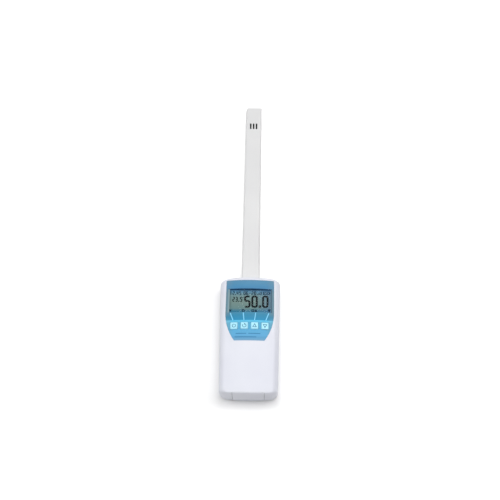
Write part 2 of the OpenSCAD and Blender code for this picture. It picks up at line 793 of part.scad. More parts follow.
// A cone-shaped contact spring along +Y, its wide end at the origin
coil_steps = 8;
coil_sides = 6;
coil_count = spring_turns * coil_steps;
coil_foot_r = 4.4;
coil_head_r = 1.6;
function coil_turn(i) = 360 * i / coil_steps;
function coil_r(i) = coil_foot_r + (coil_head_r - coil_foot_r) * i / coil_count;
function coil_centre(i) = [coil_r(i) * cos(coil_turn(i)),
    wire_d / 2 + (spring_l - wire_d) * pow(i / coil_count, 1.4), coil_r(i) * sin(coil_turn(i))];
function coil_rim(i, j) = let (around = 360 * j / coil_sides, r = wire_d / 2 / cos(180 / coil_sides))
    coil_centre(i) + r * [cos(around) * cos(coil_turn(i)), sin(around), cos(around) * sin(coil_turn(i))];
coil_gap = min([for (i = [0:coil_count], j = [i + coil_steps - 2:coil_count])
    norm(coil_centre(i) - coil_centre(j)) - wire_d]);
echo(least_gap_between_spring_turns = coil_gap);
module contact_spring() {
    points = [for (i = [0:coil_count], j = [0:coil_sides - 1]) coil_rim(i, j)];
    walls = [for (i = [0:coil_count - 1], j = [0:coil_sides - 1])
        let (a = i * coil_sides + j, b = i * coil_sides + (j + 1) % coil_sides)
        each [[a, b, b + coil_sides], [a, b + coil_sides, a + coil_sides]]];
    polyhedron(points = points, faces = concat(walls, [[for (j = [coil_sides - 1:-1:0]) j]],
        [[for (j = [0:coil_sides - 1]) coil_count * coil_sides + j]]), convexity = 6);
}
module spring_foot() {
    color("silver") translate([-cell_x, cell_room_y + contact_t, cell_z]) contact_spring();
}
module spring_inner() {
    color("silver") translate([cell_x, cell_room_end - contact_t, cell_z])
        rotate([0, 0, 180]) contact_spring();
}

// The sliding cover: a plate with tongues, and the middle of the housing's foot
module battery_cover() {
    half = cover_w / 2;
    reach = half + cover_play + tongue_w - tongue_play;
    plate_top = cover_sink + cover_t;
    color("white") {
        intersection() {
            front_skin(0, part_z);
            box([-half, foot_y - 1, part_z - 1], [half, foot_y + end_wall_t, body_t + 1]);
        }
        intersection() {
            rear_skin(0, part_z);
            union() {
                box([-half, foot_y - 1, cover_sink], [half, foot_y + end_wall_t, part_z + 1]);
                box([-half, foot_y, cover_sink], [half, foot_y + back_end_r + plate_lap, plate_top]);
            }
        }
        difference() {
            union() {
                box([-half, foot_y + back_end_r, cover_sink], [half, cover_end_y, plate_top]);
                box([-reach, foot_y + tongue_from_foot, groove_z], [reach, cover_end_y, plate_top]);
            }
            for (i = [0:grip_count - 1])
                translate([0, cover_end_y - grip_from_end - grip_pitch * i, cover_sink + grip_depth - 2])
                    linear_extrude(2) stadium(grip_l - i, grip_w);
        }
    }
}
module housing_screws() {
    color("silver") at_screws() translate([0, 0, head_seat_z])
        pan_screw(screw_d, screw_tip_z - head_seat_z, head_d, head_h);
}

front_shell();
rear_shell();
front_overlay();
display_window();
display_bezel();
display_glass();
backlight_panel();
display_pins();
main_board();
board_screws();
processor_chip();
clock_crystal();
supply_capacitor();
key_switches();
stem(key_xs[0]);  // stem_power
stem(key_xs[1]);  // stem_turn
stem(key_xs[2]);  // stem_up
stem(key_xs[3]);  // stem_down
key_cap(key_xs[0]);  // key_power
key_cap(key_xs[1]);  // key_turn
key_cap(key_xs[2]);  // key_up
key_cap(key_xs[3]);  // key_down
probe_tube();
probe_tip();
probe_root_block();
root_block_screws();
sensor_board();
humidity_sensor();
temperature_sensor();
sensor_lead();
sensor_plug();
probe_socket();
battery_cell_left();
battery_cell_right();
terminal(-cell_x);  // terminal_positive
terminal(cell_x);  // terminal_negative
bridge_contact();
spring_inner();
spring_foot();
battery_cover();
housing_screws();
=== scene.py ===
import math
import bmesh
import bpy
from mathutils import Matrix, Vector


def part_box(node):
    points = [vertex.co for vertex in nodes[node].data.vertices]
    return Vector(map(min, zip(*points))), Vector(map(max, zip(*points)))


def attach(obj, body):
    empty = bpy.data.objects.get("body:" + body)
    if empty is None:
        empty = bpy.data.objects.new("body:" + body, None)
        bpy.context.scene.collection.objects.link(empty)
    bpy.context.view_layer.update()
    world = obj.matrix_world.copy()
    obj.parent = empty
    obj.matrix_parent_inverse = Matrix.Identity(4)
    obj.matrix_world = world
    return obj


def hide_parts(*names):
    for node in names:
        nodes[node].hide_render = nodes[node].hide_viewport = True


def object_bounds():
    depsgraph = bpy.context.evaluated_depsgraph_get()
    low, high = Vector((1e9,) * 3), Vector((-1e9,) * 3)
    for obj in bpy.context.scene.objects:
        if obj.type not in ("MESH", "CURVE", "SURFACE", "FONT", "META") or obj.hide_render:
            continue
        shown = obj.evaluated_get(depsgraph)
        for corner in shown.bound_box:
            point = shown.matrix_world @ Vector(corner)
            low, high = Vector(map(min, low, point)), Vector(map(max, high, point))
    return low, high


# Hand-held thermo-hygrometer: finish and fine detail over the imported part, in metres.
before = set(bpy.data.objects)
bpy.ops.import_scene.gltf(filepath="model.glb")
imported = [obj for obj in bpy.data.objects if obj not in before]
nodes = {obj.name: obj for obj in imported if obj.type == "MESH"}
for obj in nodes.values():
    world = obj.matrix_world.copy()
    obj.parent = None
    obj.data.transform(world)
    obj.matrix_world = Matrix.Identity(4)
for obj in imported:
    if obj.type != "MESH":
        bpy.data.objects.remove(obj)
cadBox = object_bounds()
mm = 0.001
print("frame loaded:", len(nodes), "nodes")


# Small helpers

def pick(*pieces):
    bpy.ops.object.select_all(action="DESELECT")
    for piece in pieces:
        piece.select_set(True)
    bpy.context.view_layer.objects.active = pieces[0]


def openEdit(piece):
    pick(piece)
    bpy.ops.object.mode_set(mode="EDIT")
    bpy.ops.mesh.select_mode(type="VERT")
    bpy.ops.mesh.select_all(action="SELECT")


def closeEdit():
    bpy.ops.object.mode_set(mode="OBJECT")


def choose(piece, kind, test):  # in edit mode: select what passes the test
    bpy.ops.mesh.select_mode(type=kind)
    bpy.ops.mesh.select_all(action="DESELECT")
    mesh = bmesh.from_edit_mesh(piece.data)
    parts = {"VERT": mesh.verts, "EDGE": mesh.edges, "FACE": mesh.faces}[kind]
    for part in parts:
        if test(part):
            part.select_set(True)
    bmesh.update_edit_mesh(piece.data)


def shift(x=0.0, y=0.0, z=0.0):
    return {"value": (x, y, z)}


def applyModifier(piece, kind, **values):
    pick(piece)
    modifier = piece.modifiers.new(kind.lower(), kind)
    for key, value in values.items():
        setattr(modifier, key, value)
    bpy.ops.object.modifier_apply(modifier=modifier.name)


def placeHere():  # the object's place, turn and scale go into its mesh
    bpy.ops.object.transform_apply(location=True, rotation=True, scale=True)


def startBox(low, high):
    bpy.ops.object.select_all(action="DESELECT")
    bpy.ops.mesh.primitive_cube_add(size=1, location=(low + high) / 2, scale=high - low)
    placeHere()
    return bpy.context.object


def joined(pieces):
    pick(*pieces)
    bpy.ops.object.join()
    return bpy.context.object


def finishPiece(piece, name, body, material, standsFor=(), smooth=35):
    piece.name = piece.data.name = name
    pick(piece)
    placeHere()
    if smooth:
        bpy.ops.object.shade_smooth_by_angle(angle=math.radians(smooth))
    piece.data.materials.clear()
    piece.data.materials.append(material)
    if standsFor:
        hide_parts(*standsFor)
    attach(piece, body)
    return piece


def heightOn(nodeName, x, y):  # top of a node at a point
    return nodes[nodeName].ray_cast(Vector((x, y, 1)), Vector((0, 0, -1)))[1].z


# Camera

cameraLook = {
    "focalPixels": 650, "photoSide": 500, "sensor": 36,
    "place": Vector((16.642, -277.03, 715.6)) * mm,
    "yaw": 0.0463, "pitch": 0.5104, "roll": -0.0321,
}
camera = bpy.data.objects.new("camera", bpy.data.cameras.new("camera"))
bpy.context.scene.collection.objects.link(camera)
camera.data.sensor_width = cameraLook["sensor"]
camera.data.lens = cameraLook["focalPixels"] / cameraLook["photoSide"] * cameraLook["sensor"]
camera.data.clip_start = 10 * mm
turn = (Matrix.Rotation(cameraLook["yaw"], 4, "Z") @ Matrix.Rotation(cameraLook["pitch"], 4, "X")
        @ Matrix.Rotation(cameraLook["roll"], 4, "Z"))
camera.matrix_world = Matrix.Translation(cameraLook["place"]) @ turn
bpy.context.scene.camera = camera
print("camera set")


# Sizes read from the frame

foilLow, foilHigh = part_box("front_overlay")
cellLow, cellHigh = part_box("display_glass")
paneLow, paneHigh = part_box("display_window")
crownLook = {"middle": 0.1 * mm, "span": 26 * mm, "inside": 3 * mm}  # where the crown is measured
crownY = foilHigh.y - crownLook["inside"]
crownTop = heightOn("front_overlay", crownLook["middle"], crownY)
crownDip = crownTop - heightOn("front_overlay", crownLook["span"], crownY)
crownRadius = (crownLook["span"] ** 2 + crownDip ** 2) / (2 * crownDip)


def foilTop(x):  # height of the overlay's face at a place across
    return crownTop - crownRadius + math.sqrt(crownRadius ** 2 - x ** 2)


def keyRise(nodeName):  # how far a key stands out of the overlay
    low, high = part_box(nodeName)
    nearest = min(abs(low.x), abs(high.x)) if low.x * high.x > 0 else 0
    return high.z - foilTop(nearest)


# Shader groups

def paint(red, green, blue):  # screen colour to the shader's linear colour
    def linear(level):
        level = level / 255
        return level / 12.92 if level <= 0.04045 else ((level + 0.055) / 1.055) ** 2.4
    return (linear(red), linear(green), linear(blue), 1)


def addNode(tree, kind, **values):
    node = tree.nodes.new(kind)
    for key, value in values.items():
        setattr(node, key, value)
    return node


def setInputs(node, values):
    for key, value in values.items():
        node.inputs[key].default_value = value


def newGroup(name, inputs, outputs):
    group = bpy.data.node_groups.new(name, "ShaderNodeTree")
    for label, value in inputs.items():
        socket = group.interface.new_socket(label, in_out="INPUT", socket_type="NodeSocketFloat")
        socket.default_value = value
    for label in outputs:
        group.interface.new_socket(label, in_out="OUTPUT", socket_type="NodeSocketFloat")
    return group, addNode(group, "NodeGroupInput"), addNode(group, "NodeGroupOutput")


def link(tree, start, end):
    tree.links.new(start, end)


def math2(tree, operation, first, second):
    node = addNode(tree, "ShaderNodeMath", operation=operation)
    for socket, value in zip(node.inputs, (first, second)):
        if isinstance(value, (int, float)):
            socket.default_value = value
        else:
            link(tree, value, socket)
    return node.outputs[0]


# Fine moulded grain with a slow change of tone
grainGroup, grainIn, grainOut = newGroup("mouldGrain", {"Grain Scale": 3000, "Tone Scale": 30}, ("Height", "Tone"))
grainPlace = addNode(grainGroup, "ShaderNodeTexCoord")
fineNoise = addNode(grainGroup, "ShaderNodeTexNoise")
slowNoise = addNode(grainGroup, "ShaderNodeTexNoise")
setInputs(fineNoise, {"Detail": 2, "Roughness": 0.6})
setInputs(slowNoise, {"Detail": 2, "Roughness": 0.5})
for noise, label in ((fineNoise, "Grain Scale"), (slowNoise, "Tone Scale")):
    link(grainGroup, grainPlace.outputs["Object"], noise.inputs["Vector"])
    link(grainGroup, grainIn.outputs[label], noise.inputs["Scale"])
link(grainGroup, fineNoise.outputs["Fac"], grainOut.inputs["Height"])
link(grainGroup, slowNoise.outputs["Fac"], grainOut.inputs["Tone"])

# Lighter edges, partly rubbed wear and partly painted highlight: where a rounded normal leaves the real one
wearAndHighlightGroup, wearAndHighlightIn, wearAndHighlightOut = newGroup("rubbedEdge", {"Radius": 0.0006, "Amount": 1}, ("Mask",))
softNormal = addNode(wearAndHighlightGroup, "ShaderNodeBevel", samples=4)
trueNormal = addNode(wearAndHighlightGroup, "ShaderNodeNewGeometry")
sameness = addNode(wearAndHighlightGroup, "ShaderNodeVectorMath", operation="DOT_PRODUCT")
link(wearAndHighlightGroup, wearAndHighlightIn.outputs["Radius"], softNormal.inputs["Radius"])
link(wearAndHighlightGroup, softNormal.outputs["Normal"], sameness.inputs[0])
link(wearAndHighlightGroup, trueNormal.outputs["Normal"], sameness.inputs[1])
wearAndHighlightRaw = math2(wearAndHighlightGroup, "SUBTRACT", 1, sameness.outputs["Value"])
wearAndHighlightMask = math2(wearAndHighlightGroup, "MULTIPLY", wearAndHighlightRaw, wearAndHighlightIn.outputs["Amount"])
link(wearAndHighlightGroup, wearAndHighlightMask, wearAndHighlightOut.inputs["Mask"])

# Painted shade: colour darkened in gaps, seams and slots, where little light comes in
gapShadeGroup, gapShadeIn, gapShadeOut = newGroup("paintedGapShade", {"Reach": 0.002, "Start": 0.4, "Full": 0.12}, ("Mask",))
openness = addNode(gapShadeGroup, "ShaderNodeAmbientOcclusion", samples=8)
gapShadeShare = addNode(gapShadeGroup, "ShaderNodeMapRange")
link(gapShadeGroup, gapShadeIn.outputs["Reach"], openness.inputs["Distance"])
link(gapShadeGroup, openness.outputs["AO"], gapShadeShare.inputs["Value"])
link(gapShadeGroup, gapShadeIn.outputs["Start"], gapShadeShare.inputs["From Min"])
link(gapShadeGroup, gapShadeIn.outputs["Full"], gapShadeShare.inputs["From Max"])
link(gapShadeGroup, gapShadeShare.outputs[0], gapShadeOut.inputs["Mask"])

# Lines of a brushed or drawn surface, along Y
drawnGroup, drawnIn, drawnOut = newGroup("drawnLines", {"Line Scale": 4000, "Stretch": 0.01}, ("Height", "Tone"))
drawnPlace = addNode(drawnGroup, "ShaderNodeTexCoord")
drawnApart = addNode(drawnGroup, "ShaderNodeSeparateXYZ")
drawnBack = addNode(drawnGroup, "ShaderNodeCombineXYZ")
link(drawnGroup, drawnPlace.outputs["Object"], drawnApart.inputs[0])
link(drawnGroup, drawnApart.outputs["X"], drawnBack.inputs["X"])
link(drawnGroup, math2(drawnGroup, "MULTIPLY", drawnApart.outputs["Y"], drawnIn.outputs["Stretch"]),
     drawnBack.inputs["Y"])
link(drawnGroup, drawnApart.outputs["Z"], drawnBack.inputs["Z"])
for scaleShare, label in ((1, "Height"), (0.1, "Tone")):
    lines = addNode(drawnGroup, "ShaderNodeTexNoise")
    setInputs(lines, {"Detail": 3, "Roughness": 0.6})
    link(drawnGroup, drawnBack.outputs[0], lines.inputs["Vector"])
    link(drawnGroup, math2(drawnGroup, "MULTIPLY", drawnIn.outputs["Line Scale"], scaleShare), lines.inputs["Scale"])
    link(drawnGroup, lines.outputs["Fac"], drawnOut.inputs[label])
print("shader groups built")


# Materials

def newMaterial(name):
    material = bpy.data.materials.new(name)
    material.use_nodes = True
    return material, material.node_tree, material.node_tree.nodes["Principled BSDF"]


def placeGroup(tree, group, values):
    node = addNode(tree, "ShaderNodeGroup", node_tree=group)
    setInputs(node, values)
    return node


def blendColours(tree, share, first, second):
    node = addNode(tree, "ShaderNodeMix", data_type="RGBA")
    link(tree, share, node.inputs["Factor"])
    for label, value in (("A", first), ("B", second)):
        socket = next(s for s in node.inputs if s.name == label and s.type == "RGBA")
        if isinstance(value, tuple):
            socket.default_value = value
        else:
            link(tree, value, socket)
    return next(s for s in node.outputs if s.type == "RGBA")


def spread(tree, value, low, high):  # maps a 0.35..0.65 noise onto a range
    node = addNode(tree, "ShaderNodeMapRange")
    setInputs(node, {"From Min": 0.35, "From Max": 0.65, "To Min": low, "To Max": high})
    link(tree, value, node.inputs["Value"])
    return node.outputs[0]


def bumpFrom(tree, shader, height, strength, distance):
    bump = addNode(tree, "ShaderNodeBump")
    setInputs(bump, {"Strength": strength, "Distance": distance})
    link(tree, height, bump.inputs["Height"])
    link(tree, bump.outputs[0], shader.inputs["Normal"])


def plastic(name, look):
    material, tree, shader = newMaterial(name)
    grain = placeGroup(tree, grainGroup, {"Grain Scale": look["grain"], "Tone Scale": look.get("patch", 25)})
    tone = spread(tree, grain.outputs["Tone"], 0, 1)
    colour = blendColours(tree, tone, look["colour"], look["shade"])
    # lighter edges: partly rubbed wear, partly painted highlight
    if "edge" in look:
        wearAndHighlight = placeGroup(tree, wearAndHighlightGroup, {"Radius": look["edgeWidth"], "Amount": look["edgeAmount"]})
        colour = blendColours(tree, wearAndHighlight.outputs["Mask"], colour, look["edge"])
    # painted shade: darker colour in gaps, seams and slots, from the occlusion mask
    if "gapShade" in look:
        gapShade = placeGroup(tree, gapShadeGroup, {"Reach": look["gapShadeReach"]})
        colour = blendColours(tree, gapShade.outputs["Mask"], colour, look["gapShade"])
    link(tree, colour, shader.inputs["Base Color"])
    low, high = look["rough"]
    link(tree, spread(tree, grain.outputs["Height"], low, high), shader.inputs["Roughness"])
    setInputs(shader, look.get("sockets", {}))
    bumpFrom(tree, shader, grain.outputs["Height"], look["bump"], look["depth"])
    return material


metalLook = {"wearAndHighlightWidth": 0.3 * mm, "wearAndHighlightAmount": 1.5, "depth": 0.02 * mm}


def metal(name, look):
    material, tree, shader = newMaterial(name)
    lines = placeGroup(tree, drawnGroup, {"Line Scale": look["lines"], "Stretch": look["stretch"]})
    tone = spread(tree, lines.outputs["Tone"], 0, 1)
    colour = blendColours(tree, tone, look["colour"], look["shade"])
    # lighter edges: partly rubbed wear, partly painted highlight
    wearAndHighlight = placeGroup(tree, wearAndHighlightGroup, {"Radius": metalLook["wearAndHighlightWidth"], "Amount": metalLook["wearAndHighlightAmount"]})
    colour = blendColours(tree, wearAndHighlight.outputs["Mask"], colour, look["edge"])
    link(tree, colour, shader.inputs["Base Color"])
    low, high = look["rough"]
    link(tree, spread(tree, lines.outputs["Height"], low, high), shader.inputs["Roughness"])
    setInputs(shader, {"Metallic": 1})
    bumpFrom(tree, shader, lines.outputs["Height"], look["bump"], metalLook["depth"])
    return material


housingPlastic = plastic("housingPlastic", {
    "colour": paint(224, 226, 235), "shade": paint(220, 222, 232), "edge": paint(235, 236, 243),
    "edgeWidth": 0.5 * mm, "edgeAmount": 1.2, "grain": 2600, "rough": (0.4, 0.52), "bump": 0.25, "depth": 0.03 * mm,
    # painted shade in the seams and the door's gap
    "gapShade": paint(74, 76, 80), "gapShadeReach": 1.5 * mm,
})
keyPlastic = plastic("keyPlastic", {
    "colour": paint(172, 232, 250), "shade": paint(164, 227, 247), "edge": paint(208, 245, 255),
    "edgeWidth": 0.4 * mm, "edgeAmount": 1, "grain": 5000, "rough": (0.34, 0.44), "bump": 0.1, "depth": 0.01 * mm,
    "sockets": {"Coat Weight": 0.1, "Coat Roughness": 0.3},
})
probePlastic = plastic("probePlastic", {
    "colour": paint(220, 220, 220), "shade": paint(214, 214, 215), "edge": paint(227, 227, 227),
    "edgeWidth": 0.4 * mm, "edgeAmount": 0.8, "grain": 3600, "patch": 12, "rough": (0.36, 0.48), "bump": 0.15,
    # painted shade inside the slots and joints
    "depth": 0.02 * mm, "gapShade": paint(52, 53, 56), "gapShadeReach": 4 * mm,
})
bezelDark = plastic("bezelDark", {
    "colour": paint(44, 92, 130), "shade": paint(38, 84, 120), "grain": 6000, "rough": (0.45, 0.6),
    "bump": 0.1, "depth": 0.01 * mm,
})
innerWhite = plastic("innerWhite", {
    "colour": paint(236, 234, 224), "shade": paint(226, 224, 212), "grain": 2500, "rough": (0.5, 0.65),
    "bump": 0.2, "depth": 0.03 * mm,
})
backlightWhite = plastic("backlightWhite", {
    "colour": paint(240, 240, 232), "shade": paint(230, 232, 226), "grain": 4000, "rough": (0.5, 0.6),
    "bump": 0.1, "depth": 0.01 * mm,
})
chipBlack = plastic("chipBlack", {
    "colour": paint(34, 34, 36), "shade": paint(26, 26, 28), "grain": 9000, "rough": (0.55, 0.75),
    "bump": 0.3, "depth": 0.02 * mm,
})
stemBlack = plastic("stemBlack", {
    "colour": paint(40, 40, 42), "shade": paint(32, 32, 34), "grain": 4000, "rough": (0.4, 0.5),
    "bump": 0.1, "depth": 0.01 * mm,
})
leadGrey = plastic("leadGrey", {
    "colour": paint(168, 168, 172), "shade": paint(154, 154, 158), "grain": 1500, "rough": (0.5, 0.62),
    "bump": 0.2, "depth": 0.05 * mm,
})
screwSteel = metal("screwSteel", {
    "colour": paint(196, 196, 198), "shade": paint(176, 176, 180), "edge": paint(222, 222, 224),
    "lines": 3000, "stretch": 0.4, "rough": (0.26, 0.4), "bump": 0.1,
})
contactNickel = metal("contactNickel", {
    "colour": paint(208, 206, 198), "shade": paint(188, 186, 178), "edge": paint(226, 225, 220),
    "lines": 5000, "stretch": 0.05, "rough": (0.22, 0.34), "bump": 0.08,
})
canAluminium = metal("canAluminium", {
    "colour": paint(186, 190, 196), "shade": paint(170, 174, 182), "edge": paint(214, 216, 220),
    "lines": 4000, "stretch": 0.1, "rough": (0.3, 0.42), "bump": 0.06,
})


def rampAlongY(tree, stops, low, high):  # colour stops at places along Y
    place = addNode(tree, "ShaderNodeTexCoord")
    apart = addNode(tree, "ShaderNodeSeparateXYZ")
    share = addNode(tree, "ShaderNodeMapRange")
    ramp = addNode(tree, "ShaderNodeValToRGB")
    link(tree, place.outputs["Object"], apart.inputs[0])
    link(tree, apart.outputs["Y"], share.inputs["Value"])
    setInputs(share, {"From Min": low, "From Max": high})
    link(tree, share.outputs[0], ramp.inputs[0])
    points = ramp.color_ramp.elements
    while len(points) < len(stops):
        points.new(0.5)
    for point, (y, colour) in zip(points, stops):
        point.position = (y - low) / (high - low)
        point.color = colour
    return ramp.outputs["Color"], apart


foilLook = {
    "stops": [  # millimetres along the part, and the printed colour there
        (-9.4, paint(112, 164, 198)), (-5.5, paint(88, 156, 200)), (-3, paint(92, 168, 212)),
        (4, paint(88, 168, 210)), (12, paint(84, 170, 208)), (15.1, paint(92, 196, 234)),
        (15.5, paint(34, 138, 184)), (22, paint(46, 134, 170)), (27, paint(74, 138, 168)),
        (50, paint(84, 130, 158)), (57, paint(66, 132, 176)), (61, paint(76, 138, 176)),
        (66.2, paint(86, 140, 172)),
    ],
    # painted shade: greyer, darker colours near the left and right edges, where the crowned face turns from the light
    "sideStops": [  # the same near its left and right edges
        (-5, paint(104, 150, 172)), (8, paint(112, 158, 176)), (14.5, paint(118, 178, 202)),
        (16.5, paint(84, 150, 180)), (19, paint(68, 132, 162)), (24, paint(106, 136, 148)),
        (50, paint(106, 136, 148)), (58.5, paint(90, 138, 170)), (64, paint(104, 142, 164)),
    ],
    "sideStart": 19 * mm, "sideShare": 0.9, "rough": (0.4, 0.5), "grain": 4200, "patch": 40,
    "bump": 0.12, "depth": 0.015 * mm,
}


def foilPrint():
    material, tree, shader = newMaterial("foilPrint")
    ramps = [[(y * mm, colour) for y, colour in foilLook[name]] for name in ("stops", "sideStops")]
    colour, apart = rampAlongY(tree, ramps[0], foilLow.y, foilHigh.y)
    edgeShadeColour, apart = rampAlongY(tree, ramps[1], foilLow.y, foilHigh.y)
    across = math2(tree, "ABSOLUTE", apart.outputs["X"], 0)
    # painted shade: blends towards the edge colours near the left and right edges
    side = addNode(tree, "ShaderNodeMapRange")
    setInputs(side, {"From Min": foilLook["sideStart"], "From Max": foilHigh.x, "To Max": foilLook["sideShare"]})
    link(tree, across, side.inputs["Value"])
    colour = blendColours(tree, side.outputs[0], colour, edgeShadeColour)
    link(tree, colour, shader.inputs["Base Color"])
    grain = placeGroup(tree, grainGroup, {"Grain Scale": foilLook["grain"], "Tone Scale": foilLook["patch"]})
    low, high = foilLook["rough"]
    link(tree, spread(tree, grain.outputs["Height"], low, high), shader.inputs["Roughness"])
    setInputs(shader, {"Specular IOR Level": 0.25})
    bumpFrom(tree, shader, grain.outputs["Height"], foilLook["bump"], foilLook["depth"])
    return material


displayLook = {
    "stops": [
        (24, paint(38, 118, 159)), (28, paint(52, 128, 154)), (31.5, paint(115, 144, 139)),
        (40, paint(128, 148, 138)), (48, paint(126, 154, 153)), (52, paint(109, 158, 180)), (56, paint(97, 154, 199)),
    ],
    "rightTint": paint(95, 127, 168), "rightSpan": (6 * mm, 24 * mm), "rightShare": 0.45,
    "grid": paint(75, 95, 92), "dotPitch": 0.42 * mm, "lineShare": 1 / 12, "dotContrast": 0.05,
    "cloud": paint(146, 151, 132), "cloudShare": 0.12, "patch": 55,
}


def displayFace():
    material, tree, shader = newMaterial("displayFace")
    stops = [(y * mm, colour) for y, colour in displayLook["stops"]]
    colour, apart = rampAlongY(tree, stops, cellLow.y, cellHigh.y)
    right = addNode(tree, "ShaderNodeMapRange")
    low, high = displayLook["rightSpan"]
    setInputs(right, {"From Min": low, "From Max": high, "To Max": displayLook["rightShare"]})
    link(tree, apart.outputs["X"], right.inputs["Value"])
    colour = blendColours(tree, right.outputs[0], colour, displayLook["rightTint"])
    grid = []
    for axis in ("X", "Y"):  # the faint grid between the dots
        wave = math2(tree, "PINGPONG", apart.outputs[axis], displayLook["dotPitch"] / 2)
        grid.append(math2(tree, "LESS_THAN", wave, displayLook["dotPitch"] * displayLook["lineShare"]))
    lines = math2(tree, "MULTIPLY", math2(tree, "MAXIMUM", grid[0], grid[1]), displayLook["dotContrast"])
    colour = blendColours(tree, lines, colour, displayLook["grid"])
    grain = placeGroup(tree, grainGroup, {"Tone Scale": displayLook["patch"]})
    cloud = math2(tree, "MULTIPLY", spread(tree, grain.outputs["Tone"], 0, 1), displayLook["cloudShare"])
    colour = blendColours(tree, cloud, colour, displayLook["cloud"])
    link(tree, colour, shader.inputs["Base Color"])
    setInputs(shader, {"Roughness": 0.5, "Specular IOR Level": 0.1})
    return material


def printInk(name, colour, shade):
    return plastic(name, {"colour": colour, "shade": shade, "grain": 5000, "rough": (0.5, 0.6),
                          "bump": 0.05, "depth": 0.01 * mm, "sockets": {"Specular IOR Level": 0.15}})


windowLook = {"tint": (0.93, 0.97, 1, 1), "ior": 1.1, "rough": (0.02, 0.05), "patch": 20}


def windowClear():  # glass that lets the light through to the display
    material, tree, shader = newMaterial("windowClear")
    grain = placeGroup(tree, grainGroup, {"Tone Scale": windowLook["patch"]})
    low, high = windowLook["rough"]
    link(tree, spread(tree, grain.outputs["Tone"], low, high), shader.inputs["Roughness"])
    setInputs(shader, {"Base Color": windowLook["tint"], "Transmission Weight": 1, "IOR": windowLook["ior"]})
    clear = addNode(tree, "ShaderNodeBsdfTransparent")
    setInputs(clear, {"Color": windowLook["tint"]})
    rays = addNode(tree, "ShaderNodeLightPath")
    either = addNode(tree, "ShaderNodeMixShader")
    link(tree, rays.outputs["Is Shadow Ray"], either.inputs[0])
    link(tree, shader.outputs[0], either.inputs[1])
    link(tree, clear.outputs[0], either.inputs[2])
    link(tree, either.outputs[0], tree.nodes["Material Output"].inputs["Surface"])
    return material


boardLook = {
    "brick": {"offset": 0.35, "squash": 1.4},  # the joints of a brick pattern stand for copper tracks
    "tracks": {"Scale": 180, "Mortar Size": 0.012, "Brick Width": 1.1, "Row Height": 0.3,
               "Color1": (0, 0, 0, 1), "Color2": (0, 0, 0, 1), "Mortar": (1, 1, 1, 1)},
    "grain": 4000, "patch": 60, "rough": (0.25, 0.36), "bump": 0.2, "depth": 0.02 * mm,
}


def circuitBoard(name, colour, shade, copper):
    material, tree, shader = newMaterial(name)
    place = addNode(tree, "ShaderNodeTexCoord")
    tracks = addNode(tree, "ShaderNodeTexBrick", **boardLook["brick"])
    setInputs(tracks, boardLook["tracks"])
    link(tree, place.outputs["Object"], tracks.inputs["Vector"])
    grain = placeGroup(tree, grainGroup, {"Grain Scale": boardLook["grain"], "Tone Scale": boardLook["patch"]})
    base = blendColours(tree, spread(tree, grain.outputs["Tone"], 0, 1), colour, shade)
    link(tree, blendColours(tree, tracks.outputs["Color"], base, copper), shader.inputs["Base Color"])
    low, high = boardLook["rough"]
    link(tree, spread(tree, grain.outputs["Height"], low, high), shader.inputs["Roughness"])
    bumpFrom(tree, shader, tracks.outputs["Fac"], boardLook["bump"], boardLook["depth"])
    return material


overlayFoil = foilPrint()
displayCell = displayFace()
paneClear = windowClear()
boardGreen = circuitBoard("boardGreen", paint(22, 92, 54), paint(16, 80, 46), paint(58, 132, 74))
boardBlack = circuitBoard("boardBlack", paint(26, 27, 30), paint(20, 21, 24), paint(46, 47, 50))
print("materials built")


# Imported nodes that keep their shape

nodeFinish = {
    "display_bezel": bezelDark, "display_glass": displayCell, "backlight_panel": backlightWhite,
    "display_pins": contactNickel, "main_board": boardGreen, "board_screws": screwSteel,
    "processor_chip": chipBlack, "clock_crystal": screwSteel, "supply_capacitor": canAluminium,
    "key_switches": chipBlack, "stem_power": stemBlack, "stem_turn": stemBlack, "stem_up": stemBlack,
    "stem_down": stemBlack, "probe_root_block": innerWhite, "root_block_screws": screwSteel,
    "sensor_board": boardBlack, "humidity_sensor": chipBlack, "temperature_sensor": chipBlack,
    "sensor_lead": leadGrey, "sensor_plug": innerWhite, "probe_socket": innerWhite,
    "terminal_positive": contactNickel, "terminal_negative": contactNickel, "bridge_contact": contactNickel,
}
for nodeName, material in nodeFinish.items():
    nodes[nodeName].data.materials.clear()
    nodes[nodeName].data.materials.append(material)
print("packed nodes finished:", len(nodeFinish))


# Moulded and cut parts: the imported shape, with its edges broken

seamLook = {"edge": 0.3 * mm, "across": 17.5 * mm, "near": 0.3 * mm, "level": 0.02 * mm, "sliver": 0.1 * mm}
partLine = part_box("front_shell")[0].z
housingMiddle = (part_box("front_shell")[1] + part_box("rear_shell")[0]) / 2


def onSeam(edge, ways):  # where a cut through the housing meets its outer skin; ways are the cut's normals
    if len(edge.link_faces) != 2 or min(face.calc_area() for face in edge.link_faces) < seamLook["sliver"] ** 2:
        return False
    middle = (edge.verts[0].co + edge.verts[1].co) / 2
    close = {
        "x": abs(abs(middle.x) - seamLook["across"]) < seamLook["near"],
        "z": abs(middle.z - partLine) < seamLook["level"],
    }
    first, second = edge.link_faces
    for cut, skin in ((first, second), (second, first)):
        isCut = any(close[way] and abs(getattr(cut.normal, way)) > 0.95 for way in ways)
        if isCut and cut.normal.dot(skin.normal) < 0.5 and skin.normal.dot(middle - housingMiddle) > 0:
            return True
    return False


cleanLook = {"merge": 0.002 * mm, "flat": 0.4}  # what counts as one corner, and as one flat face in degrees


